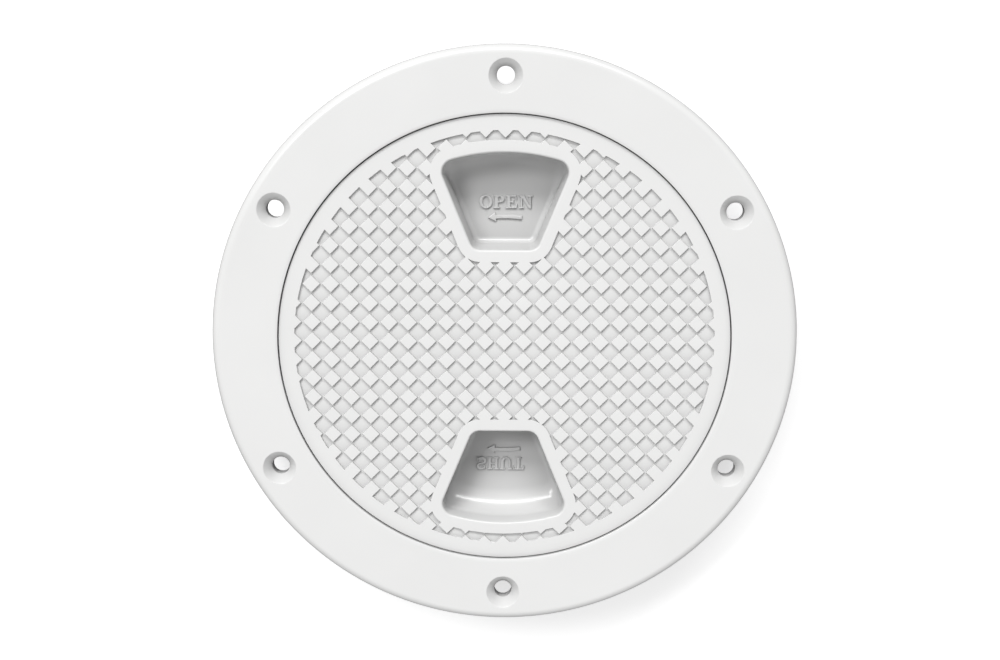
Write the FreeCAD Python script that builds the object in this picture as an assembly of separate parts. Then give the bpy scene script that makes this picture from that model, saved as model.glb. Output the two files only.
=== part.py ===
import FreeCAD, Part
import math
import os

# Screw-out deck hatch: a mounting ring, a screw lid and a seal ring.
# Millimetres. +Z points out of the deck. Origin: centre of the screw circle,
# on the underside of the flange (the deck plane). The lid is screwed shut,
# with its finger wells on the +Y and -Y sides.

V = FreeCAD.Vector
os.makedirs("parts", exist_ok=True)

# ---------------------------------------------------------------- dimensions
# flange of the mounting ring
flange_r = 72.5            # outside radius
flange_t = 5.5             # thickness
flange_round = 2.2         # rounding of the upper outer edge
inner_round = 3.0          # large rounding that falls a little towards the recess
inner_edge_w = 1.0         # width of that rounded band

# screw holes
screw_count = 6
screw_circle_r = 65.0
screw_hole_r = 2.2
csk_r = 4.1                # countersink radius at the surface
csk_depth = 2.4

# collar below the deck
collar_r = 58.5            # fits the deck cut-out
collar_step_z = -5.0       # the wall steps in below this level
collar_low_r = 56.5
collar_bottom = -16.0
recess_r = 56.17           # recess that takes the lid's rim
ledge_z = -1.8             # seat of the seal ring
bore_r = 53.2              # major radius of the female thread
lead_in = 0.4

# thread: one start, right hand
thread_pitch = 4.0
thread_h = 1.3             # radial height
thread_root_w = 2.0
thread_crest_w = 1.0
thread_root_in = 0.35      # how far the ridge's root is buried
ring_thread_z0 = -12.2
ring_thread_turns = 2.0
lid_thread_z0 = -10.2
lid_thread_turns = 1.5

# lid
lid_r = 55.97
lid_top = 4.7
lid_under = 1.2            # underside of the plate
lid_round = 0.2
neck_r = 53.0
neck_bottom = -1.2
skirt_r = 51.6             # minor radius of the male thread
skirt_in_r = 49.2
skirt_bottom = -11.5

# tread: raised diamonds in a sunk ground
tread_pitch = 4.757
tread_half = 0.455 * tread_pitch   # centre to corner of a raised diamond
tread_depth = 0.65
tread_r = 52.0             # where the plain rim begins

# finger wells
well_R = 46.7              # outer arc, about the lid's axis
well_y0 = 22.85            # straight inner edge
well_side = 22.3           # slope of the sides, degrees from the Y axis
well_side_off = 1.4        # how far the side lines pass inside the axis
well_ro = 3.1              # corner radii at the mouth
well_ri = 2.8
well_ro_floor = 2.7        # corner radii at the floor
well_ri_floor = 2.3
well_depth = 9.5
well_draft = 5.0           # degrees
well_fillet = 1.9          # between walls and floor
well_edge = 0.3            # chamfer at the mouth
well_wall = 2.0
well_border = 3.0          # plain border round the mouth

# raised words and arrows on the wells' floors
word_height = 0.45
cap_h = 3.3                # height of a capital
word_base_y = 32.15        # baseline of the opening word, from the axis
open_x0 = -6.45            # left end of each word; the closing word is the mirror
shut_x0 = -7.1             # image, in the XZ plane, of a word over the axis
arrow_R = 30.1             # the arrows' centre line, an arc about the axis
arrow_x = (-4.2, 4.2)      # tip and tail
arrow_head = (1.9, 1.15)   # length and half height
arrow_shaft = 0.45         # half thickness

# seal ring
seal_section_r = 1.4
seal_in_r = 53.1
seal_gap = 0.1             # to the lid's rim and to the seat

# ---------------------------------------------------------------- helpers


def fall(d):
    """Drop of the inner rounding at a distance d from where it starts."""
    return inner_round - math.sqrt(inner_round ** 2 - d ** 2)


def revolve(points):
    """Solid of revolution about Z from (r, z) points; a pair of points is an
    arc from the previous point, through the first of them to the second."""
    edges = []
    first = None
    prev = None
    for p in points:
        if not isinstance(p[0], tuple):
            q = V(p[0], 0, p[1])
            if prev is not None:
                edges.append(Part.makeLine(prev, q))
        else:
            mid = V(p[0][0], 0, p[0][1])
            q = V(p[1][0], 0, p[1][1])
            edges.append(Part.Arc(prev, mid, q).toShape())
        if first is None:
            first = q
        prev = q
    edges.append(Part.makeLine(prev, first))
    face = Part.Face(Part.Wire(edges))
    return face.revolve(V(0, 0, 0), V(0, 0, 1), 360)


def well_wire(R, y0, off, ro, ri, z, grow=0.0):
    """Outline of a finger well at level z, on the +Y side."""
    a = math.radians(well_side)
    th = a - math.asin((off + ro) / (R - ro))
    co = ((R - ro) * math.sin(th), (R - ro) * math.cos(th))
    ci = (((y0 + ri) * math.sin(a) - off - ri) / math.cos(a), y0 + ri)
    R += grow
    ro += grow
    ri += grow
    y0 -= grow

    def on(c, r, t):
        return V(c[0] + r * math.sin(t), c[1] + r * math.cos(t), z)

    t_side = math.pi / 2 + a
    p1 = on((0, 0), R, th)
    p2m = on(co, ro, (th + t_side) / 2)
    p2 = on(co, ro, t_side)
    p3 = on(ci, ri, t_side)
    p4m = on(ci, ri, (t_side + math.pi) / 2)
    p4 = on(ci, ri, math.pi)

    def m(v):
        return V(-v.x, v.y, v.z)

    edges = [
        Part.Arc(m(p1), V(0, R, z), p1).toShape(),
        Part.Arc(p1, p2m, p2).toShape(),
        Part.makeLine(p2, p3),
        Part.Arc(p3, p4m, p4).toShape(),
        Part.makeLine(p4, m(p4)),
        Part.Arc(m(p4), m(p4m), m(p3)).toShape(),
        Part.makeLine(m(p3), m(p2)),
        Part.Arc(m(p2), m(p2m), m(p1)).toShape(),
    ]
    return Part.Wire(edges)


def well_at(z, grow=0.0):
    """Well outline, drafted inwards with depth below the lid's top."""
    depth = lid_top - z
    k = depth / well_depth
    i = depth * math.tan(math.radians(well_draft)) - grow
    ro = well_ro + (well_ro_floor - well_ro) * k + grow
    ri = well_ri + (well_ri_floor - well_ri) * k + grow
    return well_wire(well_R - i, well_y0 + i, well_side_off + i, ro, ri, z)


def turn_half(shape):
    s = shape.copy()
    s.rotate(V(0, 0, 0), V(0, 0, 1), 180)
    return s


def thread_ridge(r_root, r_crest, z0, turns):
    """Helical ridge of trapezoid section, blunt at both ends."""
    helix = Part.makeHelix(thread_pitch, thread_pitch * turns, r_root)
    helix.translate(V(0, 0, z0))
    s = 1.0 if r_crest > r_root else -1.0
    rb = r_root - s * thread_root_in
    grow = thread_root_in * (thread_root_w - thread_crest_w) / 2 / thread_h
    pts = [
        V(rb, 0, z0 - thread_root_w / 2 - grow),
        V(r_crest, 0, z0 - thread_crest_w / 2),
        V(r_crest, 0, z0 + thread_crest_w / 2),
        V(rb, 0, z0 + thread_root_w / 2 + grow),
    ]
    prof = Part.makePolygon(pts + [pts[0]])
    ridge = Part.Wire(helix.Edges).makePipeShell([prof], True, True)
    if ridge.Volume < 0:
        ridge.reverse()
    return ridge


def rect(x0, y0, x1, y1):
    return [(x0, y0), (x1, y0), (x1, y1), (x0, y1)]


def oval(cx, cy, rx, ry, a0=0.0, a1=360.0, n=32):
    full = abs(a1 - a0) >= 360
    m = n if full else n + 1
    return [(cx + rx * math.cos(math.radians(a0 + (a1 - a0) * k / n)),
             cy + ry * math.sin(math.radians(a0 + (a1 - a0) * k / n))) for k in range(m)]


def stroke(points):
    """Outline of a line of varying width from (x, y, width) points."""
    left, right = [], []
    for k, (x, y, w) in enumerate(points):
        xa, ya, _ = points[max(k - 1, 0)]
        xb, yb, _ = points[min(k + 1, len(points) - 1)]
        d = math.hypot(xb - xa, yb - ya)
        nx, ny = -(yb - ya) / d, (xb - xa) / d
        left.append((x + nx * w / 2, y + ny * w / 2))
        right.append((x - nx * w / 2, y - ny * w / 2))
    return left + right[::-1]


def letter_s():
    """Centre line of the S: two opposed bows."""
    pts = []
    for k in range(13):
        t = math.radians(35 + (270 - 35) * k / 12)
        w = 0.42 + 0.33 * math.sin(math.pi * k / 12) ** 2
        pts.append((1.35 + 0.92 * math.cos(t), 2.42 + 0.68 * math.sin(t), w))
    for k in range(1, 13):
        t = math.radians(90 - (90 + 145) * k / 12)
        w = 0.42 + 0.33 * math.sin(math.pi * k / 12) ** 2
        pts.append((1.35 + 1.0 * math.cos(t), 0.96 + 0.76 * math.sin(t), w))
    return pts


# each letter: filled outlines, hollow outlines, advance
LETTERS = {
    "O": ([oval(1.65, 1.65, 1.65, 1.7)], [oval(1.65, 1.65, 0.85, 1.33)], 3.55),
    "P": ([rect(0.35, 0.1, 1.15, 3.2), rect(0.0, 0.0, 1.55, 0.36), rect(0.0, 2.94, 1.5, 3.3),
           rect(1.1, 1.45, 1.5, 3.3), oval(1.5, 2.375, 1.25, 0.925)],
          [oval(1.53, 2.375, 0.38, 0.57)], 3.05),
    "E": ([rect(0.35, 0.1, 1.15, 3.2), rect(0.0, 0.0, 2.75, 0.38), rect(0.0, 2.92, 2.65, 3.3),
           rect(1.1, 1.47, 2.0, 1.83), rect(1.72, 1.17, 2.0, 2.13),
           [(2.42, 0.2), (2.75, 0.2), (2.95, 1.1), (2.68, 1.1)],
           [(2.3, 3.1), (2.65, 3.1), (2.75, 2.25), (2.5, 2.25)]], [], 3.3),
    "N": ([rect(0.4, 0.1, 0.8, 3.1), rect(0.0, 0.0, 1.2, 0.36), rect(0.0, 2.94, 1.1, 3.3),
           [(0.35, 3.3), (1.3, 3.3), (3.05, 0.0), (2.5, 0.0)],
           rect(2.6, 0.0, 3.0, 3.1), rect(2.15, 2.94, 3.4, 3.3)], [], 3.4),
    "S": ([stroke(letter_s()), [(1.95, 2.1), (2.3, 2.1), (2.42, 3.25), (2.15, 3.25)],
           [(0.12, 0.05), (0.4, 0.05), (0.62, 1.2), (0.28, 1.2)]], [], 2.9),
    "H": ([rect(0.3, 0.1, 0.95, 3.2), rect(2.0, 0.1, 2.65, 3.2), rect(0.9, 1.47, 2.05, 1.83),
           rect(0.0, 0.0, 1.25, 0.36), rect(0.0, 2.94, 1.25, 3.3),
           rect(1.7, 0.0, 2.95, 0.36), rect(1.7, 2.94, 2.95, 3.3)], [], 3.15),
    "U": ([rect(0.35, 1.2, 1.1, 3.2), rect(2.5, 1.2, 2.9, 3.2), rect(0.0, 2.94, 1.45, 3.3),
           rect(2.05, 2.94, 3.3, 3.3),
           oval(1.625, 1.22, 1.275, 1.27, 180, 360, 20)],
          [oval(1.8, 1.3, 0.7, 0.95)], 3.33),
    "T": ([rect(1.15, 0.1, 1.9, 3.2), rect(0.75, 0.0, 2.3, 0.36), rect(0.1, 2.94, 2.95, 3.3),
           [(0.0, 2.25), (0.28, 2.25), (0.42, 3.1), (0.1, 3.1)],
           [(2.77, 2.25), (3.05, 2.25), (2.95, 3.1), (2.63, 3.1)]], [], 3.05),
}


def flat_face(pts, z):
    v = [V(x, y, z) for x, y in pts]
    return Part.Face(Part.makePolygon(v + [v[0]]))


def word_prism(text, x0, y0, z, h):
    """The word as one group of raised solids, read from +Z with +Y up."""
    out = []
    x = x0
    for ch in text:
        fill, hollow, advance = LETTERS[ch]
        faces = [flat_face([(x + px, y0 + py) for px, py in p], z) for p in fill]
        body = faces[0].fuse(faces[1:]) if len(faces) > 1 else faces[0]
        if hollow:
            body = body.cut([flat_face([(x + px, y0 + py) for px, py in p], z) for p in hollow])
        body = body.removeSplitter()
        out += [f.extrude(V(0, 0, h)) for f in body.Faces]
        x += advance
    return out


def arrow_prism(direction, z, h):
    """An arrow bent about the axis; direction -1 points to -X."""
    tip, tail = arrow_x
    if direction > 0:
        tip, tail = -tip, -tail
    s = 1.0 if tail > tip else -1.0
    neck = tip + s * arrow_head[0]

    def at(x, off):
        t = math.asin(x / arrow_R)
        return ((arrow_R + off) * math.sin(t), (arrow_R + off) * math.cos(t))

    n = 6
    upper = [at(neck + (tail - neck) * k / n, arrow_shaft) for k in range(n + 1)]
    lower = [at(neck + (tail - neck) * k / n, -arrow_shaft) for k in range(n + 1)]
    pts = [at(tip, 0), at(neck, arrow_head[1])] + upper + lower[::-1] + [at(neck, -arrow_head[1])]
    return [flat_face(pts, z).extrude(V(0, 0, h))]


def check(name, shape):
    if shape.ShapeType != "Solid":
        solids = shape.Solids
        shape = solids[0] if len(solids) == 1 else shape
    print(name, shape.ShapeType, "valid", shape.isValid(), "solids", len(shape.Solids),
          "faces", len(shape.Faces), "volume", round(shape.Volume, 1))
    return shape


# ---------------------------------------------------------------- ring
s45 = math.sqrt(0.5)
ring = revolve([
    (bore_r + 0.5, collar_bottom),
    (collar_low_r - 0.6, collar_bottom),
    (collar_low_r, collar_bottom + 0.6),
    (collar_low_r, collar_step_z - (collar_r - collar_low_r)),
    (collar_r, collar_step_z),
    (collar_r, 0.0),
    (flange_r, 0.0),
    (flange_r, flange_t - flange_round),
    ((flange_r - flange_round * (1 - s45), flange_t - flange_round * (1 - s45)),
     (flange_r - flange_round, flange_t)),
    (recess_r + inner_edge_w, flange_t),
    ((recess_r + inner_edge_w / 2, flange_t - fall(inner_edge_w / 2)),
     (recess_r, flange_t - fall(inner_edge_w))),
    (recess_r, ledge_z),
    (bore_r + lead_in, ledge_z),
    (bore_r, ledge_z - lead_in),
    (bore_r, collar_bottom + 0.5),
])

cutters = []
for k in range(screw_count):
    a = math.radians(90 + k * 360.0 / screw_count)
    x, y = screw_circle_r * math.cos(a), screw_circle_r * math.sin(a)
    cutters.append(Part.makeCylinder(screw_hole_r, flange_t + 2, V(x, y, -1)))
    over = 0.5
    slope = (csk_r - screw_hole_r) / csk_depth
    cutters.append(Part.makeCone(screw_hole_r, csk_r + slope * over, csk_depth + over,
                                 V(x, y, flange_t - csk_depth)))
ring = ring.cut(cutters)
ring = ring.fuse(thread_ridge(bore_r, bore_r - thread_h, ring_thread_z0, ring_thread_turns))
ring = check("mounting_ring", ring)
ring.exportStep("parts/mounting_ring.step")

# ---------------------------------------------------------------- lid
lid = revolve([
    (0.0, lid_under),
    (skirt_in_r, lid_under),
    (skirt_in_r, skirt_bottom),
    (skirt_r - 0.5, skirt_bottom),
    (skirt_r, skirt_bottom + 0.5),
    (skirt_r, neck_bottom - (neck_r - skirt_r)),
    (neck_r, neck_bottom),
    (neck_r, lid_under),
    (lid_r - 0.3, lid_under),
    (lid_r, lid_under + 0.3),
    (lid_r, lid_top - lid_round),
    ((lid_r - lid_round * (1 - s45), lid_top - lid_round * (1 - s45)),
     (lid_r - lid_round, lid_top)),
    (0.0, lid_top),
])

# sunk ground of the tread: a disc less the wells' borders and the diamonds
z_sunk = lid_top - tread_depth
ground = Part.Face(Part.Wire(Part.makeCircle(tread_r, V(0, 0, z_sunk))))
holes = []
border = Part.Face(well_wire(well_R, well_y0, well_side_off, well_ro, well_ri, z_sunk,
                             grow=well_border))
holes += [border, turn_half(border)]
n = int(tread_r / tread_pitch) + 1
for i in range(-n, n + 1):
    for j in range(-n, n + 1):
        cx, cy = i * tread_pitch, j * tread_pitch
        if math.hypot(cx, cy) - tread_half > tread_r:
            continue
        if border.isInside(V(cx, abs(cy), z_sunk), 1e-6, True):
            corners = [V(cx + dx * tread_half, abs(cy) + dy * tread_half, z_sunk)
                       for dx, dy in ((1, 0), (0, 1), (-1, 0), (0, -1))]
            if all(border.isInside(c, 1e-6, True) for c in corners):
                continue
        pts = [V(cx + dx * tread_half, cy + dy * tread_half, z_sunk)
               for dx, dy in ((1, 0), (0, 1), (-1, 0), (0, -1), (1, 0))]
        holes.append(Part.Face(Part.makePolygon(pts)))
ground = ground.cut(holes)
keep = [f for f in ground.Faces if f.Area > 0.02]
print("ground faces", len(ground.Faces), "kept", len(keep),
      [round(f.Area, 3) for f in keep][:12], len(holes))
sunk = [f.extrude(V(0, 0, tread_depth + 1.0)) for f in keep]

# finger wells: shells under the plate, then the hollows
floor_z = lid_top - well_depth
shell = Part.makeLoft([well_at(floor_z - well_wall, well_wall),
                       well_at(lid_under + 1.0, well_wall)], True, True)
hollow = Part.makeLoft([well_at(floor_z), well_at(lid_top - well_edge)], True, True)
bottom = [f for f in hollow.Faces if abs(f.CenterOfMass.z - floor_z) < 1e-3][0]
hollow = hollow.makeFillet(well_fillet, bottom.Edges)
mouth = Part.makeLoft([well_at(lid_top - well_edge),
                       well_at(lid_top + 0.6, well_edge + 0.6)], True, True)
hollow = hollow.fuse(mouth)
print("shell", shell.isValid(), "hollow", hollow.isValid(), round(hollow.Volume, 1))

lid = lid.fuse([shell, turn_half(shell)])
lid = lid.cut([hollow, turn_half(hollow)])
lid = lid.cut(sunk)
z_word = floor_z - 0.1
raised = word_prism("OPEN", open_x0, word_base_y, z_word, word_height + 0.1)
raised += arrow_prism(-1, z_word, word_height + 0.1)
raised += [b.mirror(V(0, 0, 0), V(0, 1, 0)) for b in word_prism("SHUT", shut_x0, word_base_y,
                                                               z_word, word_height + 0.1)]
raised += [turn_half(b) for b in arrow_prism(1, z_word, word_height + 0.1)]
lid = lid.fuse(raised)
lid = lid.fuse(thread_ridge(skirt_r, skirt_r + thread_h, lid_thread_z0, lid_thread_turns))
lid = check("screw_lid", lid)
lid.exportStep("parts/screw_lid.step")

# ---------------------------------------------------------------- seal ring
seal = Part.makeTorus(seal_in_r + seal_section_r, seal_section_r,
                      V(0, 0, lid_under - seal_gap - seal_section_r), V(0, 0, 1))
seal = check("o_ring", seal)
seal.exportStep("parts/o_ring.step")
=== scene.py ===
import math

import bmesh
import bpy
import numpy as np
from mathutils import Matrix, Vector
from mathutils.geometry import delaunay_2d_cdt


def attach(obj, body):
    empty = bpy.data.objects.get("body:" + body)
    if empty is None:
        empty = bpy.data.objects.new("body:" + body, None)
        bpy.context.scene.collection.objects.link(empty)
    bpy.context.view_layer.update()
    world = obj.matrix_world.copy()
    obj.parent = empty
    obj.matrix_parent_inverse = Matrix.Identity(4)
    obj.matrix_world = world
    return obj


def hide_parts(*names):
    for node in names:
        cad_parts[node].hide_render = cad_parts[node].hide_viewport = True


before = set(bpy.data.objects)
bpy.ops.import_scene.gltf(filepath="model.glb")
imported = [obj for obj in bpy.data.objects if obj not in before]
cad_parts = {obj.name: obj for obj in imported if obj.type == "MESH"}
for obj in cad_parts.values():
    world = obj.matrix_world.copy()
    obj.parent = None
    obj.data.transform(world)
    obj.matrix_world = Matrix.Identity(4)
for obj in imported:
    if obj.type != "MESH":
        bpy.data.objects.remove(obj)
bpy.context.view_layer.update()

MM = 0.001

# ------------------------------------------------------------------ sizes, mm
FL_R, FL_T, FL_ROUND = 72.5, 5.5, 2.2
REC_R, REC_EDGE, REC_ROUND, LEDGE_Z = 56.17, 1.0, 3.0, -1.8
BORE_R, COL_R, COL_STEP, COL_LOW, COL_BOT = 53.2, 58.5, -5.0, 56.5, -16.0
HOLE_C, HOLE_R, CSK_R, CSK_D = 65.0, 2.2, 4.1, 2.4

LID_R, LID_TOP, LID_UNDER, LID_ROUND = 55.97, 4.7, 1.2, 0.2
NECK_R, NECK_BOT, SKIRT_R, SKIRT_IN, SKIRT_BOT = 53.0, -1.2, 51.6, 49.2, -11.5
PITCH = 4.757
HALF = 0.455 * PITCH
TREAD_D, TREAD_R = 0.65, 52.0

W_R, W_Y0, W_SIDE, W_OFF, W_RO, W_RI = 46.7, 22.85, math.radians(22.3), 1.4, 3.1, 2.8
W_DEPTH, W_DRAFT, W_WALL, W_BORDER, W_EDGE = 9.5, math.radians(5.0), 2.0, 3.0, 0.5
RHO_ARC, RHO_SIDE = 6.0, 1.5

TH_PITCH, TH_H, TH_ROOT, TH_CREST = 4.0, 1.3, 2.0, 1.0


# ------------------------------------------------------------------ mesh kit
class Mesh:
    """Collects rows of points and flat fills, then welds them into one skin."""

    def __init__(self):
        self.v, self.f, self.m = [], [], []

    def _add(self, pts):
        a = len(self.v)
        self.v.extend([tuple(map(float, p)) for p in pts])
        return a

    def strip(self, rows, closed=True, mat=0):
        starts = [self._add(r) for r in rows]
        n = len(rows[0])
        for a, b in zip(starts, starts[1:]):
            for i in range(n if closed else n - 1):
                j = (i + 1) % n
                self.f.append((a + i, a + j, b + j, b + i))
                self.m.append(mat)

    def tris(self, pts, faces, mat=0):
        a = self._add(pts)
        for t in faces:
            self.f.append(tuple(a + i for i in t))
            self.m.append(mat)

    def object(self, name, sharp=32.0, weld=2e-6):
        me = bpy.data.meshes.new(name)
        me.from_pydata([(x * MM, y * MM, z * MM) for x, y, z in self.v], [], self.f)
        bm = bmesh.new()
        bm.from_mesh(me)
        bmesh.ops.remove_doubles(bm, verts=bm.verts, dist=weld)
        bmesh.ops.dissolve_degenerate(bm, edges=bm.edges, dist=1e-7)
        bmesh.ops.recalc_face_normals(bm, faces=bm.faces)
        open_edges = sum(1 for e in bm.edges if len(e.link_faces) != 2)
        print("mesh", name, "verts", len(bm.verts), "faces", len(bm.faces),
              "open or crossed edges", open_edges)
        bm.to_mesh(me)
        bm.free()
        for p in me.polygons:
            p.use_smooth = True
        me.set_sharp_from_angle(angle=math.radians(sharp))
        ob = bpy.data.objects.new(name, me)
        bpy.context.scene.collection.objects.link(ob)
        wn = ob.modifiers.new("weighted", "WEIGHTED_NORMAL")
        wn.keep_sharp = True
        wn.weight = 80
        return ob


def ring_pts(r, z, n, phase=0.0):
    return [(r * math.cos(2 * math.pi * (k + phase) / n),
             r * math.sin(2 * math.pi * (k + phase) / n), z) for k in range(n)]


def lathe(mesh, profile, n, mat=0):
    mesh.strip([ring_pts(r, z, n) for r, z in profile], mat=mat)


def arc(cx, cz, r, a0, a1, n):
    """Points of an arc in (radius, height), degrees."""
    return [(cx + r * math.cos(math.radians(a0 + (a1 - a0) * k / n)),
             cz + r * math.sin(math.radians(a0 + (a1 - a0) * k / n))) for k in range(n + 1)]


def circle2(cx, cy, r, n):
    return [(cx + r * math.cos(2 * math.pi * k / n), cy + r * math.sin(2 * math.pi * k / n))
            for k in range(n)]


def parity(points, loops):
    """How many loops hold each point, odd or even."""
    p = np.array(points, float)
    a = np.concatenate([np.array(l, float) for l in loops])
    b = np.concatenate([np.roll(np.array(l, float), -1, axis=0) for l in loops])
    odd = np.zeros(len(p), bool)
    for s in range(0, len(p), 400):
        x, y = p[s:s + 400, 0][:, None], p[s:s + 400, 1][:, None]
        cond = (a[:, 1] > y) != (b[:, 1] > y)
        dy = np.where(b[:, 1] == a[:, 1], 1.0, b[:, 1] - a[:, 1])
        xi = a[:, 0] + (y - a[:, 1]) * (b[:, 0] - a[:, 0]) / dy
        odd[s:s + 400] = (np.sum(cond & (x < xi), axis=1) % 2) == 1
    return odd


def fill(mesh, loops, z, extra=(), mat=0):
    """Flat face at height z, between nested loops."""
    pts, edges = [], []
    for l in loops:
        a = len(pts)
        pts += [Vector((float(x), float(y))) for x, y in l]
        edges += [(a + i, a + (i + 1) % len(l)) for i in range(len(l))]
    pts += [Vector((float(x), float(y))) for x, y in extra]
    n_in = len(pts)
    vo, _eo, fo, _a, _b, _c = delaunay_2d_cdt(pts, edges, [], 0, 1e-5)
    if len(vo) != n_in:
        print("fill at", z, "points in", n_in, "out", len(vo))
    cen = [((vo[f[0]].x + vo[f[1]].x + vo[f[2]].x) / 3, (vo[f[0]].y + vo[f[1]].y + vo[f[2]].y) / 3)
           for f in fo]
    inside = parity(cen, loops)
    mesh.tris([(p.x, p.y, z) for p in vo], [f for f, k in zip(fo, inside) if k], mat)


def loops_of(polys, wanted):
    """Boundary loops of the area that `wanted` picks out of overlapping
    polygons, each loop with the area on its left."""
    pts, faces = [], []
    for poly in polys:
        area = sum(p[0] * q[1] - q[0] * p[1] for p, q in zip(poly, poly[1:] + poly[:1]))
        if area < 0:
            poly = poly[::-1]
        a = len(pts)
        pts += [Vector((float(x), float(y))) for x, y in poly]
        faces.append(list(range(a, a + len(poly))))
    vo, _e, fo, _ov, _oe, of_ = delaunay_2d_cdt(pts, [], faces, 0, 1e-5)
    edges = set()
    for f, o in zip(fo, of_):
        if not wanted(set(o)):
            continue
        for i in range(len(f)):
            edges.add((f[i], f[(i + 1) % len(f)]))
    border = [e for e in edges if (e[1], e[0]) not in edges]
    nxt = {}
    for a, b in border:
        nxt.setdefault(a, []).append(b)
    loops = []
    while nxt:
        start = next(iter(nxt))
        loop, at, came = [], start, None
        while True:
            outs = nxt[at]
            if len(outs) > 1 and came is not None:
                # at a pinch, take the sharpest turn to the left
                d0 = vo[at] - vo[came]
                outs.sort(key=lambda o: -math.atan2(
                    d0.x * (vo[o] - vo[at]).y - d0.y * (vo[o] - vo[at]).x,
                    d0.dot(vo[o] - vo[at])))
            b = outs.pop(0)
            if not outs:
                del nxt[at]
            loop.append((vo[at].x, vo[at].y))
            came, at = at, b
            if at == start:
                break
        loops.append(loop)
    return loops


def tidy(loop, shortest=0.1):
    """Merges points that lie closer than `shortest` and drops points in line."""
    p = [np.array(q, float) for q in loop]
    changed = True
    while changed and len(p) > 3:
        changed = False
        for i in range(len(p)):
            j = (i + 1) % len(p)
            if np.linalg.norm(p[j] - p[i]) < shortest:
                # keep the corner that turns more
                def turn(k):
                    u, w = p[k] - p[k - 1], p[(k + 1) % len(p)] - p[k]
                    c = np.dot(u, w) / (np.linalg.norm(u) * np.linalg.norm(w) + 1e-12)
                    return math.acos(max(-1, min(1, c)))
                drop = j if turn(i) >= turn(j) else i
                p.pop(drop)
                changed = True
                break
    out = []
    for i in range(len(p)):
        u, w = p[i] - p[i - 1], p[(i + 1) % len(p)] - p[i]
        c = (u[0] * w[1] - u[1] * w[0]) / (np.linalg.norm(u) * np.linalg.norm(w) + 1e-12)
        if abs(c) > 1e-4 or np.dot(u, w) < 0:
            out.append(p[i])
    return np.array(out)


def mitres(loop):
    """Unit-distance corner moves to the right of a loop, with its edges."""
    p = np.asarray(loop, float)
    e = np.roll(p, -1, axis=0) - p
    ln = np.linalg.norm(e, axis=1)
    n = np.stack([e[:, 1], -e[:, 0]], 1) / ln[:, None]
    n0 = np.roll(n, 1, axis=0)
    return p, (n0 + n) / (1 + np.sum(n0 * n, axis=1))[:, None].clip(0.35), e, ln


def crossing(loops):
    """Segments of the loops that cut one another: (loop, segment) pairs."""
    a = np.concatenate(loops)
    b = np.concatenate([np.roll(l, -1, axis=0) for l in loops])
    which = np.concatenate([np.full(len(l), i) for i, l in enumerate(loops)])
    index = np.concatenate([np.arange(len(l)) for l in loops])
    nxt = np.concatenate([np.roll(np.arange(len(l)), -1) + sum(len(q) for q in loops[:i])
                          for i, l in enumerate(loops)])
    lo, hi = np.minimum(a, b), np.maximum(a, b)
    out = set()
    for i in range(len(a)):
        near = np.where((lo[:, 0] <= hi[i, 0]) & (hi[:, 0] >= lo[i, 0])
                        & (lo[:, 1] <= hi[i, 1]) & (hi[:, 1] >= lo[i, 1]))[0]
        near = near[near > i]
        near = near[(near != nxt[i]) & (nxt[near] != i)]
        if not len(near):
            continue
        d, e = b[i] - a[i], b[near] - a[near]
        w = a[near] - a[i]
        den = d[0] * e[:, 1] - d[1] * e[:, 0]
        den = np.where(np.abs(den) < 1e-12, 1e-12, den)
        t = (w[:, 0] * e[:, 1] - w[:, 1] * e[:, 0]) / den
        u = (w[:, 0] * d[1] - w[:, 1] * d[0]) / den
        for k in near[(t > -0.02) & (t < 1.02) & (u > -0.02) & (u < 1.02)]:
            out.add((which[i], index[i]))
            out.add((which[k], index[k]))
    return out


def relief(mesh, loops, levels, mat=0):
    """Walls along loops: levels are (offset to the right, height). Where an
    offset would fold or cut another loop it is held back."""
    parts = [mitres(l) for l in loops]
    hold = {}
    for sign in (-1, 1):
        far = max([abs(d) for d, _ in levels if d * sign > 0] or [0.0])
        s = [np.ones(len(p)) for p, _m, _e, _l in parts]
        for _ in range(40 if far else 0):
            moved, bad = [], False
            for (p, m, e, ln), k in zip(parts, s):
                for _again in range(12):
                    q = p + m * (k * far * sign)[:, None]
                    e2 = np.roll(q, -1, axis=0) - q
                    turned = np.sum(e2 * e, axis=1) < 0.15 * ln * ln
                    if not turned.any():
                        break
                    k[turned] *= 0.6
                    k[np.roll(turned, 1)] *= 0.6
                moved.append(q)
            cuts = crossing(moved)
            if not cuts:
                break
            for li, si in cuts:
                s[li][si] *= 0.7
                s[li][(si + 1) % len(s[li])] *= 0.7
        else:
            if far:
                print("relief still crosses", len(cuts))
        hold[sign] = s
    ends = []
    for i, (p, m, _e, _l) in enumerate(parts):
        rows = []
        for d, z in levels:
            q = p + m * (hold[1 if d > 0 else -1][i] * d)[:, None]
            rows.append([(x, y, z) for x, y in q])
        mesh.strip(rows, mat=mat)
        ends.append((np.array(rows[0])[:, :2], np.array(rows[-1])[:, :2]))
    return [a for a, _ in ends], [b for _, b in ends]


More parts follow.
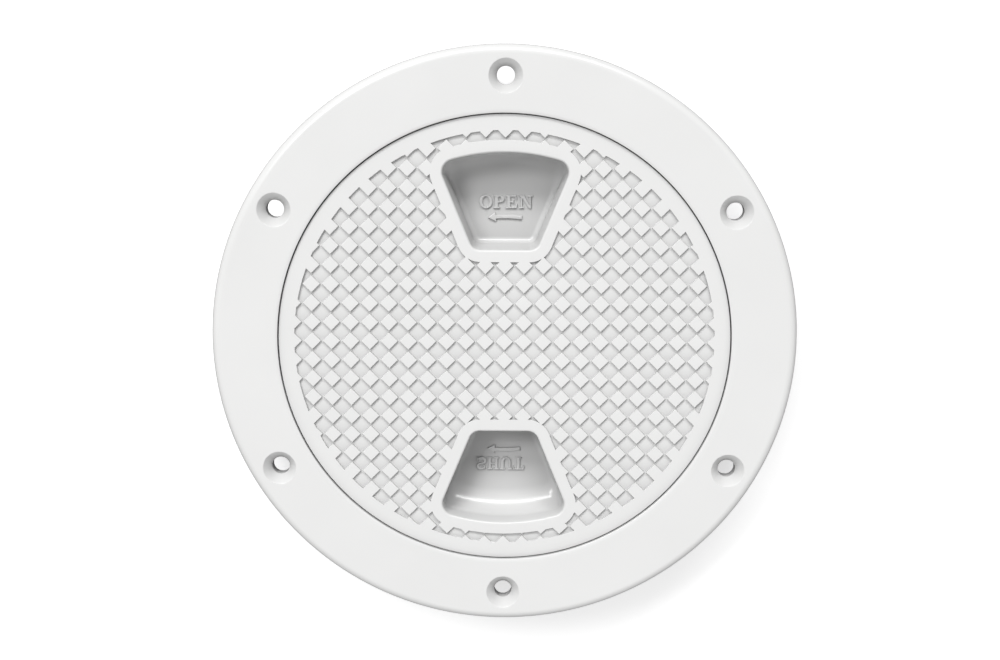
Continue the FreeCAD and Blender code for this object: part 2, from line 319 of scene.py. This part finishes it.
# ------------------------------------------------------------------ finger wells
def outline(i_arc=0.0, i_side=0.0, i_in=0.0, ro=W_RO, ri=W_RI, grow=0.0,
            n_arc=44, n_c=9, n_s=6, n_i=10):
    """Outline of the well on the +Y side, inset by each kind of wall, then
    grown; the same number of points whatever the insets."""
    a = W_SIDE
    R, y0, off = W_R - i_arc, W_Y0 + i_in, W_OFF + i_side
    th = a - math.asin((off + ro) / (R - ro))
    co = ((R - ro) * math.sin(th), (R - ro) * math.cos(th))
    ci = (((y0 + ri) * math.sin(a) - off - ri) / math.cos(a), y0 + ri)
    R, ro, ri, y0 = R + grow, ro + grow, ri + grow, y0 - grow

    def on(c, r, t):
        return (c[0] + r * math.sin(t), c[1] + r * math.cos(t))

    ts = math.pi / 2 + a
    half = [on((0, 0), R, th * k / n_arc) for k in range(n_arc + 1)]
    half += [on(co, ro, th + (ts - th) * k / n_c) for k in range(1, n_c + 1)]
    p2, p3 = half[-1], on(ci, ri, ts)
    half += [(p2[0] + (p3[0] - p2[0]) * k / n_s, p2[1] + (p3[1] - p2[1]) * k / n_s)
             for k in range(1, n_s)]
    half += [on(ci, ri, ts + (math.pi - ts) * k / n_c) for k in range(n_c + 1)]
    p4 = half[-1]
    half += [(p4[0] * (1 - k / n_i), y0) for k in range(1, n_i + 1)]
    left = [(-x, y) for x, y in half[1:-1]][::-1]
    return half + left


def inset(t, rho):
    """How far a drafted wall with a floor fillet has come in at depth t."""
    tc = W_DEPTH - rho
    ic = tc * math.tan(W_DRAFT) + rho / math.cos(W_DRAFT)
    if t <= tc + rho * math.sin(W_DRAFT):
        return t * math.tan(W_DRAFT)
    return ic - math.sqrt(max(0.0, rho * rho - (t - tc) ** 2))


def flip(pts, turned):
    return [(-p[0], -p[1]) + tuple(p[2:]) for p in pts] if turned else list(pts)


def well_rows():
    rows = []
    for k in range(6):
        psi = math.radians(15.0 * k)
        g = W_EDGE - W_EDGE * math.sin(psi)
        rows.append(([q for q in outline(grow=g)], LID_TOP - W_EDGE * (1 - math.cos(psi))))
    ts = {W_EDGE, 2.2, 4.2}
    for rho in (RHO_ARC, RHO_SIDE):
        for phi in (85, 75, 65, 55, 45, 36, 28, 20, 13, 7, 0):
            ts.add(round(W_DEPTH - rho + rho * math.cos(math.radians(phi)), 5))
    for t in sorted(ts):
        ia, is_ = inset(t, RHO_ARC), inset(t, RHO_SIDE)
        rows.append((outline(ia, is_, is_, ro=max(1.1, W_RO - 0.75 * is_),
                             ri=max(0.7, W_RI - 0.9 * is_)), LID_TOP - t))
    return rows


# ------------------------------------------------------------------ raised words
def rect(x0, y0, x1, y1):
    return [(x0, y0), (x1, y0), (x1, y1), (x0, y1)]


def oval(cx, cy, rx, ry, a0=0.0, a1=360.0, n=32):
    full = abs(a1 - a0) >= 360
    m = n if full else n + 1
    return [(cx + rx * math.cos(math.radians(a0 + (a1 - a0) * k / n)),
             cy + ry * math.sin(math.radians(a0 + (a1 - a0) * k / n))) for k in range(m)]


def stroke(points):
    left, right = [], []
    for k, (x, y, w) in enumerate(points):
        xa, ya, _ = points[max(k - 1, 0)]
        xb, yb, _ = points[min(k + 1, len(points) - 1)]
        d = math.hypot(xb - xa, yb - ya)
        nx, ny = -(yb - ya) / d, (xb - xa) / d
        left.append((x + nx * w / 2, y + ny * w / 2))
        right.append((x - nx * w / 2, y - ny * w / 2))
    return left + right[::-1]


def letter_s():
    pts = []
    for k in range(13):
        t = math.radians(35 + (270 - 35) * k / 12)
        w = 0.42 + 0.33 * math.sin(math.pi * k / 12) ** 2
        pts.append((1.35 + 0.92 * math.cos(t), 2.42 + 0.68 * math.sin(t), w))
    for k in range(1, 13):
        t = math.radians(90 - (90 + 145) * k / 12)
        w = 0.42 + 0.33 * math.sin(math.pi * k / 12) ** 2
        pts.append((1.35 + 1.0 * math.cos(t), 0.96 + 0.76 * math.sin(t), w))
    return pts


LETTERS = {
    "O": ([oval(1.65, 1.65, 1.65, 1.7)], [oval(1.65, 1.65, 0.85, 1.33)], 3.55),
    "P": ([rect(0.35, 0.1, 1.15, 3.2), rect(0.0, 0.0, 1.55, 0.36), rect(0.0, 2.94, 1.5, 3.3),
           rect(1.1, 1.45, 1.5, 3.3), oval(1.5, 2.375, 1.25, 0.925)],
          [oval(1.53, 2.375, 0.38, 0.57)], 3.05),
    "E": ([rect(0.35, 0.1, 1.15, 3.2), rect(0.0, 0.0, 2.75, 0.38), rect(0.0, 2.92, 2.65, 3.3),
           rect(1.1, 1.47, 2.0, 1.83), rect(1.72, 1.17, 2.0, 2.13),
           [(2.42, 0.2), (2.75, 0.2), (2.95, 1.1), (2.68, 1.1)],
           [(2.3, 3.1), (2.65, 3.1), (2.75, 2.25), (2.5, 2.25)]], [], 3.3),
    "N": ([rect(0.4, 0.1, 0.8, 3.1), rect(0.0, 0.0, 1.2, 0.36), rect(0.0, 2.94, 1.1, 3.3),
           [(0.35, 3.3), (1.3, 3.3), (3.05, 0.0), (2.5, 0.0)],
           rect(2.6, 0.0, 3.0, 3.1), rect(2.15, 2.94, 3.4, 3.3)], [], 3.4),
    "S": ([stroke(letter_s()), [(1.95, 2.1), (2.3, 2.1), (2.42, 3.25), (2.15, 3.25)],
           [(0.12, 0.05), (0.4, 0.05), (0.62, 1.2), (0.28, 1.2)]], [], 2.9),
    "H": ([rect(0.3, 0.1, 0.95, 3.2), rect(2.0, 0.1, 2.65, 3.2), rect(0.9, 1.47, 2.05, 1.83),
           rect(0.0, 0.0, 1.25, 0.36), rect(0.0, 2.94, 1.25, 3.3),
           rect(1.7, 0.0, 2.95, 0.36), rect(1.7, 2.94, 2.95, 3.3)], [], 3.15),
    "U": ([rect(0.35, 1.2, 1.1, 3.2), rect(2.5, 1.2, 2.9, 3.2), rect(0.0, 2.94, 1.45, 3.3),
           rect(2.05, 2.94, 3.3, 3.3),
           oval(1.625, 1.22, 1.275, 1.27, 180, 360, 20)],
          [oval(1.8, 1.3, 0.7, 0.95)], 3.33),
    "T": ([rect(1.15, 0.1, 1.9, 3.2), rect(0.75, 0.0, 2.3, 0.36), rect(0.1, 2.94, 2.95, 3.3),
           [(0.0, 2.25), (0.28, 2.25), (0.42, 3.1), (0.1, 3.1)],
           [(2.77, 2.25), (3.05, 2.25), (2.95, 3.1), (2.63, 3.1)]], [], 3.05),
}
ARROW_R, ARROW_X, ARROW_HEAD, ARROW_SHAFT = 30.1, (-4.2, 4.2), (1.9, 1.15), 0.45


def word_loops(text, x0, y0):
    loops, x = [], x0
    for ch in text:
        fills, hollows, advance = LETTERS[ch]
        polys = [[(x + px, y0 + py) for px, py in p] for p in fills + hollows]
        nf = len(fills)
        loops += loops_of(polys, lambda o: any(i < nf for i in o) and all(i < nf for i in o))
        x += advance
    return [tidy(l, 0.05) for l in loops]


def arrow_loop(direction):
    tip, tail = ARROW_X
    if direction > 0:
        tip, tail = -tip, -tail
    s = 1.0 if tail > tip else -1.0
    neck = tip + s * ARROW_HEAD[0]

    def at(x, off):
        t = math.asin(x / ARROW_R)
        return ((ARROW_R + off) * math.sin(t), (ARROW_R + off) * math.cos(t))

    n = 8
    upper = [at(neck + (tail - neck) * k / n, ARROW_SHAFT) for k in range(n + 1)]
    lower = [at(neck + (tail - neck) * k / n, -ARROW_SHAFT) for k in range(n + 1)]
    pts = ([at(tip, 0), at(neck, ARROW_HEAD[1])] + upper + lower[::-1]
           + [at(neck, -ARROW_HEAD[1])])
    area = sum(p[0] * q[1] - q[0] * p[1] for p, q in zip(pts, pts[1:] + pts[:1]))
    return np.array(pts if area > 0 else pts[::-1])


# ------------------------------------------------------------------ threads
def thread_wall(mesh, r_root, r_crest, z_top, z_bot, z0, t0, t1, n, mat=0):
    """Round wall with a helical ridge in one skin. The ridge runs from turn t0
    to t1 and fades out at both ends."""
    h, w0, w1, c = r_crest - r_root, TH_ROOT / 2, TH_CREST / 2, 0.16
    half = [(0.0, w0 + 0.12), (0.05 * h, w0 - 0.02), (h * (1 - c), w1 + (w0 - w1) * c),
            (h * (1 - c * 0.3), w1 - 0.08), (h, w1 - 0.22)]
    lines = [(a, -b) for a, b in half] + [(a, b) for a, b in half[::-1]]
    step = 2 * math.pi * r_root / n
    pts, rad, edges = [], [], []

    def put(k, z, r):
        pts.append(Vector((k * step, z)))
        rad.append(r)
        return len(pts) - 1

    top = [put(k, z_top, r_root) for k in range(n + 1)]
    bot = [put(k, z_bot, r_root) for k in range(n + 1)]
    sides = {0: [top[0], bot[0]], n: [top[-1], bot[-1]]}
    for row in (top, bot):
        edges += list(zip(row, row[1:]))
    k0, k1 = int(round(t0 * n)), int(round(t1 * n))
    for dr, dz in lines:
        prev = None
        for k in range(k0, k1 + 1):
            t = k / n
            fade = min(1.0, (t - t0) / 0.05, (t1 - t) / 0.05)
            r = r_root + dr * math.sin(max(0.0, fade) * math.pi / 2)
            z = z0 + TH_PITCH * t + dz
            col = k % n
            if col == 0:
                # both sides of the seam
                end = put(n, z, r) if k > k0 else None
                beg = put(0, z, r) if k < k1 else None
                if end is not None:
                    sides[n].append(end)
                    edges.append((prev, end))
                    if beg is None:
                        sides[0].append(put(0, z, r))
                if beg is not None:
                    sides[0].append(beg)
                    if end is None:
                        sides[n].append(put(n, z, r))
                prev = beg
            else:
                cur = put(col, z, r)
                if prev is not None:
                    edges.append((prev, cur))
                prev = cur
    for side in sides.values():
        side.sort(key=lambda i: pts[i].y)
        edges += list(zip(side, side[1:]))
    vo, _eo, fo, ov, _oe, _of = delaunay_2d_cdt(pts, edges, [], 1, 1e-6)
    r_of = [max((rad[i] for i in o), key=lambda r: abs(r - r_root)) if o else r_root for o in ov]
    if len(vo) != len(pts):
        print("thread points in", len(pts), "out", len(vo))
    mesh.tris([(r * math.cos(p.x / r_root), r * math.sin(p.x / r_root), p.y)
               for p, r in zip(vo, r_of)], fo, mat)


# ------------------------------------------------------------------ mounting ring
def build_ring():
    n = 360
    m = Mesh()
    top_in, top_out = REC_R + REC_EDGE, FL_R - FL_ROUND
    eb = 0.35                                   # rounding of the lower outer edge
    # outside: rounding, side, lower edge
    lathe(m, arc(top_out, FL_T - FL_ROUND, FL_ROUND, 90, 0, 12)
          + arc(FL_R - eb, eb, eb, 0, -90, 4), n)
    # recess edge, recess, seat, lead-in, bore, foot, collar
    fall = math.degrees(math.asin((REC_EDGE - 0.06) / REC_ROUND))
    prof = arc(top_in, FL_T - REC_ROUND, REC_ROUND, 90, 90 + fall, 6)
    prof += [(REC_R + 0.015, prof[-1][1] - 0.04), (REC_R, prof[-1][1] - 0.12)]
    prof += arc(REC_R - 0.3, LEDGE_Z + 0.3, 0.3, 0, -90, 3)
    prof += [(BORE_R + 0.4, LEDGE_Z), (BORE_R + 0.12, LEDGE_Z - 0.12), (BORE_R, LEDGE_Z - 0.4)]
    prof += [(BORE_R, -2.9)]
    lathe(m, prof, n)
    thread_wall(m, BORE_R, BORE_R - TH_H, -2.9, -13.6, -12.2, 0.0, 2.0, n)
    prof = [(BORE_R, -13.6)] + arc(BORE_R + 0.5, COL_BOT + 0.5, 0.5, 180, 270, 4)
    prof += arc(COL_LOW - 0.6, COL_BOT + 0.6, 0.6, -90, 0, 5)
    dz = COL_R - COL_LOW
    prof += [(COL_LOW, -11.0)]
    prof += [(COL_LOW, COL_STEP - dz - 0.25), (COL_LOW + 0.12, COL_STEP - dz + 0.02)]
    prof += [(COL_R - 0.2, COL_STEP - 0.25), (COL_R, COL_STEP + 0.15)]
    prof += [(COL_R, 0.0)]
    lathe(m, prof, n)
    # holes
    e = 0.18
    slope = math.atan2(CSK_R - HOLE_R, CSK_D)
    tops, bots = [], []
    nh = 56
    for k in range(6):
        a = math.radians(90 + 60 * k)
        cx, cy = HOLE_C * math.cos(a), HOLE_C * math.sin(a)
        rows = [(CSK_R + e, FL_T), (CSK_R + e * 0.45, FL_T - e * 0.12), (CSK_R, FL_T - e * 0.5),
                (CSK_R - (CSK_R - HOLE_R) * 0.5, FL_T - CSK_D * 0.5 - e * 0.2),
                (HOLE_R + 0.08, FL_T - CSK_D - e * 0.2), (HOLE_R, FL_T - CSK_D - 0.15),
                (HOLE_R, 0.2), (HOLE_R + 0.06, 0.06), (HOLE_R + 0.2, 0.0)]
        m.strip([[(cx + r * math.cos(2 * math.pi * j / nh), cy + r * math.sin(2 * math.pi * j / nh), z)
                  for j in range(nh)] for r, z in rows])
        tops.append(circle2(cx, cy, CSK_R + e, nh))
        bots.append(circle2(cx, cy, HOLE_R + 0.2, nh))
    fill(m, [circle2(0, 0, top_out, n), circle2(0, 0, top_in, n)] + tops, FL_T)
    fill(m, [circle2(0, 0, FL_R - eb, n), circle2(0, 0, COL_R, n)] + bots, 0.0)
    return m.object("mounting_ring_skin")


# ------------------------------------------------------------------ lid
def build_lid():
    n = 360
    m = Mesh()
    # outside of the lid, from the top's edge round to the underside
    prof = arc(LID_R - LID_ROUND, LID_TOP - LID_ROUND, LID_ROUND, 90, 0, 5)
    prof += arc(LID_R - 0.3, LID_UNDER + 0.3, 0.3, 0, -90, 3)
    prof += [(NECK_R + 0.15, LID_UNDER), (NECK_R, LID_UNDER - 0.15)]
    prof += [(NECK_R, NECK_BOT + 0.1), (NECK_R - 0.08, NECK_BOT - 0.1)]
    prof += [(SKIRT_R + 0.06, NECK_BOT - (NECK_R - SKIRT_R) + 0.06), (SKIRT_R, -2.8)]
    lathe(m, prof, n)
    thread_wall(m, SKIRT_R, SKIRT_R + TH_H, -2.8, -11.0, -10.2, 0.08, 1.5, n)
    prof = arc(SKIRT_R - 0.5, SKIRT_BOT + 0.5, 0.5, 0, -90, 4)
    prof += arc(SKIRT_IN + 0.5, SKIRT_BOT + 0.5, 0.5, -90, -180, 4)
    prof += [(SKIRT_IN, -5.0)]
    prof += arc(SKIRT_IN - 0.3, LID_UNDER - 0.3, 0.3, 0, 90, 3)
    lathe(m, prof, n)

    # tread
    disc = circle2(0, 0, TREAD_R, 300)
    border = outline(grow=W_BORDER, n_arc=20, n_c=9, n_s=1, n_i=1)
    polys = [disc, border, flip(border, True)]
    k = int(TREAD_R / PITCH) + 1
    for i in range(-k, k + 1):
        for j in range(-k, k + 1):
            cx, cy = i * PITCH, j * PITCH
            if math.hypot(cx, cy) - HALF > TREAD_R:
                continue
            polys.append([(cx + HALF, cy), (cx, cy + HALF), (cx - HALF, cy), (cx, cy - HALF)])
    ground = loops_of(polys, lambda o: o == {0})
    ground = [tidy(l) for l in ground]
    ground = [l for l in ground if len(l) >= 3]
    z0, z1 = LID_TOP - TREAD_D, LID_TOP
    f, b = 0.07, 0.13
    low, high = relief(m, ground, [(-f, z0), (-f * 0.3, z0 + f * 0.3), (0, z0 + f),
                                   (0, z1 - b), (b * 0.3, z1 - b * 0.3), (b, z1)])
    fill(m, low, z0)

    # wells
    rows = well_rows()
    shell = []
    t_b = W_DEPTH + W_WALL
    tan_d = math.tan(W_DRAFT)
    for t, extra in [(LID_TOP - LID_UNDER, 0.3), (LID_TOP - LID_UNDER + 0.09, 0.09),
                     (LID_TOP - LID_UNDER + 0.3, 0.0), (7.0, 0.0)]:
        i = t * tan_d
        shell.append((outline(i, i, i, ro=2.9, ri=2.6, grow=W_WALL + extra), LID_TOP - t))
    rb = 1.2
    for psi in range(0, 91, 15):
        p = math.radians(psi)
        t = t_b - rb + rb * math.sin(p)
        i = (t_b - rb) * tan_d
        shell.append((outline(i, i, i, ro=2.7, ri=2.3, grow=W_WALL - rb * (1 - math.cos(p))),
                      LID_TOP - t))
    mouths, feet = [], []
    words = {False: (word_loops("OPEN", -6.45, 32.15), arrow_loop(-1)),
             True: (word_loops("SHUT", -7.1, 32.15), arrow_loop(1))}
    for turned in (False, True):
        m.strip([[(x, y, z) for x, y in flip(q, turned)] for q, z in rows])
        m.strip([[(x, y, z) for x, y in flip(q, turned)] for q, z in shell])
        mouths.append(flip(rows[0][0], turned))
        feet.append(flip(shell[0][0], turned))
        fill(m, [flip(shell[-1][0], turned)], shell[-1][1])
        zf = rows[-1][1]
        raised = [np.array(l) for l in words[turned][0]]
        if turned:                      # the closing word is a mirror image
            raised = [np.array([(p[0], -p[1]) for p in l[::-1]]) for l in raised]
        raised.append(np.array(flip([tuple(p) for p in words[turned][1]], turned)))
        h, lb, lf = 0.45, 0.10, 0.08
        base, tops = relief(m, raised, [(lf, zf), (lf * 0.3, zf + lf * 0.3), (0, zf + lf),
                                        (0, zf + h - lb), (-lb * 0.3, zf + h - lb * 0.3),
                                        (-lb, zf + h)])
        fill(m, [flip(rows[-1][0], turned)] + base, zf)
        fill(m, tops, zf + h)
    fill(m, [circle2(0, 0, LID_R - LID_ROUND, n)] + mouths + high, z1)
    fill(m, [circle2(0, 0, SKIRT_IN - 0.3, n)] + feet, LID_UNDER)
    return m.object("screw_lid_skin")


# ------------------------------------------------------------------ materials
def node(nt, kind, **kw):
    nd = nt.nodes.new(kind)
    for k, v in kw.items():
        setattr(nd, k, v)
    return nd


def plastic(name, base, rough=0.23, grain=0.006, seed=0.0):
    """White moulded plastic: a faint satin grain, slow changes of tone and gloss."""
    mat = bpy.data.materials.new(name)
    mat.use_nodes = True
    nt = mat.node_tree
    bsdf = nt.nodes["Principled BSDF"]
    coord = node(nt, "ShaderNodeTexCoord")
    place = node(nt, "ShaderNodeMapping")
    place.inputs["Location"].default_value = (seed, seed * 0.7, seed * 0.3)
    nt.links.new(coord.outputs["Object"], place.inputs["Vector"])
    slow = node(nt, "ShaderNodeTexNoise")
    slow.inputs["Scale"].default_value = 38.0
    slow.inputs["Detail"].default_value = 3.0
    nt.links.new(place.outputs["Vector"], slow.inputs["Vector"])
    tone = node(nt, "ShaderNodeValToRGB")
    tone.color_ramp.elements[0].position = 0.3
    tone.color_ramp.elements[0].color = tuple(c * 0.975 for c in base) + (1,)
    tone.color_ramp.elements[1].position = 0.7
    tone.color_ramp.elements[1].color = tuple(base) + (1,)
    nt.links.new(slow.outputs["Fac"], tone.inputs["Fac"])
    nt.links.new(tone.outputs["Color"], bsdf.inputs["Base Color"])
    fine = node(nt, "ShaderNodeTexNoise")
    fine.inputs["Scale"].default_value = 2600.0
    fine.inputs["Detail"].default_value = 2.0
    nt.links.new(place.outputs["Vector"], fine.inputs["Vector"])
    gloss = node(nt, "ShaderNodeMapRange")
    gloss.inputs["From Min"].default_value = 0.3
    gloss.inputs["From Max"].default_value = 0.7
    gloss.inputs["To Min"].default_value = rough - 0.04
    gloss.inputs["To Max"].default_value = rough + 0.04
    nt.links.new(slow.outputs["Fac"], gloss.inputs["Value"])
    nt.links.new(gloss.outputs["Result"], bsdf.inputs["Roughness"])
    bump = node(nt, "ShaderNodeBump")
    bump.inputs["Strength"].default_value = 0.25
    bump.inputs["Distance"].default_value = grain * MM
    nt.links.new(fine.outputs["Fac"], bump.inputs["Height"])
    nt.links.new(bump.outputs["Normal"], bsdf.inputs["Normal"])
    bsdf.inputs["IOR"].default_value = 1.53
    bsdf.inputs["Specular IOR Level"].default_value = 0.6
    return mat


def rubber(name):
    mat = bpy.data.materials.new(name)
    mat.use_nodes = True
    nt = mat.node_tree
    bsdf = nt.nodes["Principled BSDF"]
    coord = node(nt, "ShaderNodeTexCoord")
    dust = node(nt, "ShaderNodeTexNoise")
    dust.inputs["Scale"].default_value = 900.0
    dust.inputs["Detail"].default_value = 4.0
    nt.links.new(coord.outputs["Object"], dust.inputs["Vector"])
    tone = node(nt, "ShaderNodeValToRGB")
    tone.color_ramp.elements[0].position = 0.35
    tone.color_ramp.elements[0].color = (0.012, 0.012, 0.013, 1)
    tone.color_ramp.elements[1].position = 0.75
    tone.color_ramp.elements[1].color = (0.035, 0.035, 0.036, 1)
    nt.links.new(dust.outputs["Fac"], tone.inputs["Fac"])
    nt.links.new(tone.outputs["Color"], bsdf.inputs["Base Color"])
    rough = node(nt, "ShaderNodeMapRange")
    rough.inputs["To Min"].default_value = 0.42
    rough.inputs["To Max"].default_value = 0.62
    nt.links.new(dust.outputs["Fac"], rough.inputs["Value"])
    nt.links.new(rough.outputs["Result"], bsdf.inputs["Roughness"])
    bump = node(nt, "ShaderNodeBump")
    bump.inputs["Strength"].default_value = 0.2
    bump.inputs["Distance"].default_value = 0.00001
    nt.links.new(dust.outputs["Fac"], bump.inputs["Height"])
    nt.links.new(bump.outputs["Normal"], bsdf.inputs["Normal"])
    return mat


# ------------------------------------------------------------------ build
white_ring = plastic("white_plastic_ring", (0.80, 0.80, 0.795), seed=0.0)
white_lid = plastic("white_plastic_lid", (0.80, 0.80, 0.795), seed=3.1)
black = rubber("seal_rubber_black")

ring = build_ring()
ring.data.materials.append(white_ring)
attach(ring, "ring")
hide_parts("mounting_ring")

lid = build_lid()
lid.data.materials.append(white_lid)
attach(lid, "lid")
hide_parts("screw_lid")

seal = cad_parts["o_ring"]
seal.data.materials.clear()
seal.data.materials.append(black)

# ------------------------------------------------------------------ camera
cam_data = bpy.data.cameras.new("camera")
cam_data.sensor_width = 36.0
cam_data.lens = 52.22
cam_data.clip_start = 0.01
cam_data.clip_end = 20.0
cam = bpy.data.objects.new("camera", cam_data)
bpy.context.scene.collection.objects.link(cam)
right = Vector((0.99996477, 0.00539513, -0.0064301))
up = Vector((-0.00650874, 0.98211773, -0.18815524))
back = Vector((0.00529999, 0.18819046, 0.98211825))
rot = Matrix((right, up, back)).transposed().to_4x4()
cam.matrix_world = Matrix.Translation(Vector((0.000830, 0.070465, 0.35210 + LID_TOP * MM))) @ rot
bpy.context.scene.camera = cam

# ------------------------------------------------------------------ floor
floor_me = bpy.data.meshes.new("floor")
bm = bmesh.new()
bmesh.ops.create_circle(bm, cap_ends=True, radius=3.0, segments=96,
                        matrix=Matrix.Translation((0, 0, COL_BOT * MM)))
bm.to_mesh(floor_me)
bm.free()
floor = bpy.data.objects.new("floor", floor_me)
bpy.context.scene.collection.objects.link(floor)
fmat = bpy.data.materials.new("floor_white")
fmat.use_nodes = True
fb = fmat.node_tree.nodes["Principled BSDF"]
fb.inputs["Base Color"].default_value = (0.9, 0.9, 0.9, 1)
fb.inputs["Roughness"].default_value = 0.9
fb.inputs["Specular IOR Level"].default_value = 0.0
fb.inputs["Emission Color"].default_value = (1, 1, 1, 1)
fb.inputs["Emission Strength"].default_value = 0.43
floor_me.materials.append(fmat)
floor.visible_glossy = False


# ------------------------------------------------------------------ light
def area(name, direction, dist, size, size_y, power, spin=0.0, target=(0, 0, 0)):
    d = bpy.data.lights.new(name, "AREA")
    d.shape = "RECTANGLE"
    d.size, d.size_y = size, size_y
    d.energy = power
    o = bpy.data.objects.new(name, d)
    bpy.context.scene.collection.objects.link(o)
    v = Vector(direction).normalized()
    o.location = Vector(target) + v * dist
    q = (-v).to_track_quat("-Z", "Y")
    o.rotation_mode = "QUATERNION"
    o.rotation_quaternion = q @ Matrix.Rotation(spin, 3, "Z").to_quaternion()
    return o


def off_vertical(elev_from_up, azimuth):
    """Unit vector: degrees from straight up, azimuth from +Y towards -X."""
    e, a = math.radians(elev_from_up), math.radians(azimuth)
    return (-math.sin(e) * math.sin(a), math.sin(e) * math.cos(a), math.cos(e))


# a long softbox above the far side, a key to the left of it, two low fills on
# the near side that leave no highlights, and an even sky
area("strip", off_vertical(54.5, 4), 9.0, 9.0, 2.1, 546.0)
area("key", off_vertical(40, 45), 9.0, 3.6, 2.5, 218.0)
area("fill_right", off_vertical(70, -135), 9.0, 2.5, 2.5, 125.0).visible_glossy = False
area("fill_left", off_vertical(70, 135), 9.0, 2.5, 2.5, 90.0).visible_glossy = False

world = bpy.data.worlds.new("world")
bpy.context.scene.world = world
world.use_nodes = True
wt = world.node_tree
sky_at = node(wt, "ShaderNodeTexCoord")
sky_xyz = node(wt, "ShaderNodeSeparateXYZ")
sky = node(wt, "ShaderNodeValToRGB")
sky.color_ramp.elements[0].position = 0.0
sky.color_ramp.elements[0].color = (0.06, 0.06, 0.06, 1)
sky.color_ramp.elements[1].position = 0.06
sky.color_ramp.elements[1].color = (1, 1, 1, 1)
wt.links.new(sky_at.outputs["Generated"], sky_xyz.inputs["Vector"])
wt.links.new(sky_xyz.outputs["Z"], sky.inputs["Fac"])
wt.links.new(sky.outputs["Color"], wt.nodes["Background"].inputs["Color"])
wt.nodes["Background"].inputs["Strength"].default_value = 0.42

bpy.context.scene.view_settings.view_transform = "Standard"
bpy.context.scene.view_settings.look = "None"
bpy.context.scene.view_settings.exposure = 0.07
bpy.context.scene.cycles.diffuse_bounces = 0
